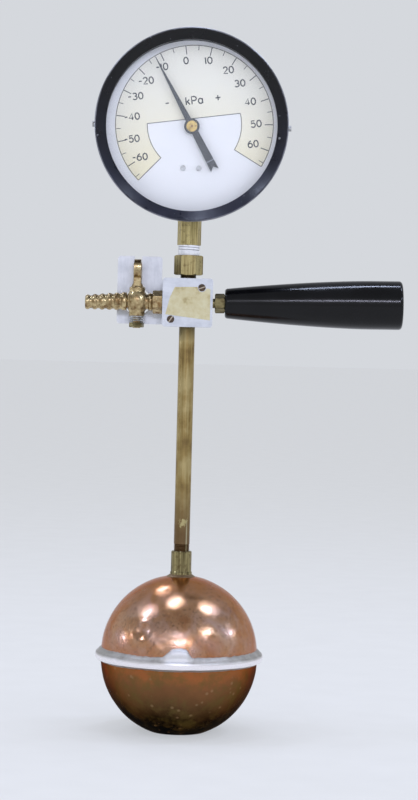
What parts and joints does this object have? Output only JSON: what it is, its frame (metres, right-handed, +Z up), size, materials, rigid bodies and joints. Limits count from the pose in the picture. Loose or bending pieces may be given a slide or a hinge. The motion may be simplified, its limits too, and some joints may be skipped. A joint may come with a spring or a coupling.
{
  "type": "gas thermometer",
  "caption": "Constant-volume gas thermometer: copper gas ball on a brass stem, with a dial pressure gauge, a stopcock with a hose tail and a black handle.",
  "frame": {"origin": "centre of the flat foot under the ball, on the stem's axis", "axes": "+Z up along the stem, +X along the handle, -Y towards the reader of the gauge"},
  "size_m": [0.2065, 0.1096, 0.4555],
  "materials": {
    "copper": "worn polished copper with pale pink patches and brown tarnish",
    "tarnished_copper": "dark brown and olive tarnished copper",
    "solder": "dull grey soft solder with a bright rim",
    "brass": "dull turned brass",
    "stem_brass": "aged brass pipe, darkened by heat near the ball",
    "cock_brass": "old brass casting, brown in its hollows",
    "aluminium": "satin aluminium with light file marks",
    "steel": "dull steel",
    "masking_tape": "old yellowed masking tape",
    "phenolic": "glossy moulded black phenolic",
    "thread_tape": "white thread tape",
    "black_enamel": "black enamel with worn edges",
    "window_glass": "clear flat glass",
    "rubber": "matt black rubber",
    "dial_white": "smooth white dial paint",
    "card": "cream paper card, yellowed towards its ends",
    "pointer_grey": "dark slate paint",
    "spring_bronze": "phosphor bronze"
  },
  "bodies": {
    "root": {"lower_hemisphere": "tarnished_copper", "upper_hemisphere": "copper", "seam_solder": "solder", "solder_patch": "solder", "stem_collar": "brass", "collar_solder": "solder", "stem_pipe": "stem_brass", "manifold_block": "aluminium", "block_screws": "steel", "screw_nuts": "steel", "guard_plate": "aluminium", "tape_label": "masking_tape", "stopcock_body": "cock_brass", "handle_stud": "brass", "handle_lock_nut": "brass", "handle_insert": "brass", "handle_grip": "phenolic", "pipe_adapter": "brass", "thread_tape": "thread_tape", "gauge_socket": "brass", "gauge_case": "black_enamel", "socket_screws": "steel", "bezel_ring": "black_enamel", "bezel_screws": "steel", "window": "window_glass", "window_gasket": "rubber", "dial_plate": "dial_white", "dial_posts": "brass", "dial_screws": "steel", "scale_card": "card", "hairspring": "spring_bronze", "hairspring_stud": "brass", "front_movement_plate": "brass", "back_movement_plate": "brass", "movement_pillars": "brass", "movement_screws": "steel", "bourdon_tube": "spring_bronze"},
    "stopcock": {"stopcock_plug": "cock_brass", "plug_washer": "steel", "plug_spring": "steel", "plug_nut": "brass"},
    "pointer_set": {"pointer": "pointer_grey", "pointer_hub": "brass", "pinion_arbor": "steel"},
    "sector": {"sector_gear": "brass", "sector_shaft": "steel"},
    "link": {"link": "brass", "link_pin": "steel"},
    "tip": {"tube_tip": "brass", "tip_pin": "steel"}
  },
  "joints": [
    {"name": "stopcock_turn", "type": "hinge", "parent": "root", "child": "stopcock", "pos_m": [-0.033, 0, 0.27971], "axis": [0, 0, 1], "continuous": true},
    {"name": "sector_swing", "type": "hinge", "parent": "root", "child": "sector", "pos_m": [0, 0, 0.37176], "axis": [0, 1, 0], "range_deg": [-18.4, 13]},
    {"name": "pointer_turn", "type": "hinge", "parent": "root", "child": "pointer_set", "pos_m": [0, 0, 0.39336], "axis": [0, 1, 0], "range_deg": [-104, 147.2], "deforming": ["hairspring"]},
    {"name": "link_turn", "type": "hinge", "parent": "sector", "child": "link", "pos_m": [0.0035, 0, 0.36736], "axis": [0, 1, 0], "range_deg": [-12.2, 17.2]},
    {"name": "tip_swing", "type": "hinge", "parent": "root", "child": "tip", "pos_m": [-0.006, 0, 0.40376], "axis": [0, 1, 0], "range_deg": [-2.7, 1.9], "deforming": ["bourdon_tube"]}
  ],
  "couplings": [
    {"joint": "pointer_turn", "follows": "sector_swing", "ratio": -8},
    {"joint": "link_turn", "follows": "sector_swing", "ratio": -0.931},
    {"joint": "tip_swing", "follows": "sector_swing", "ratio": 0.1458}
  ]
}
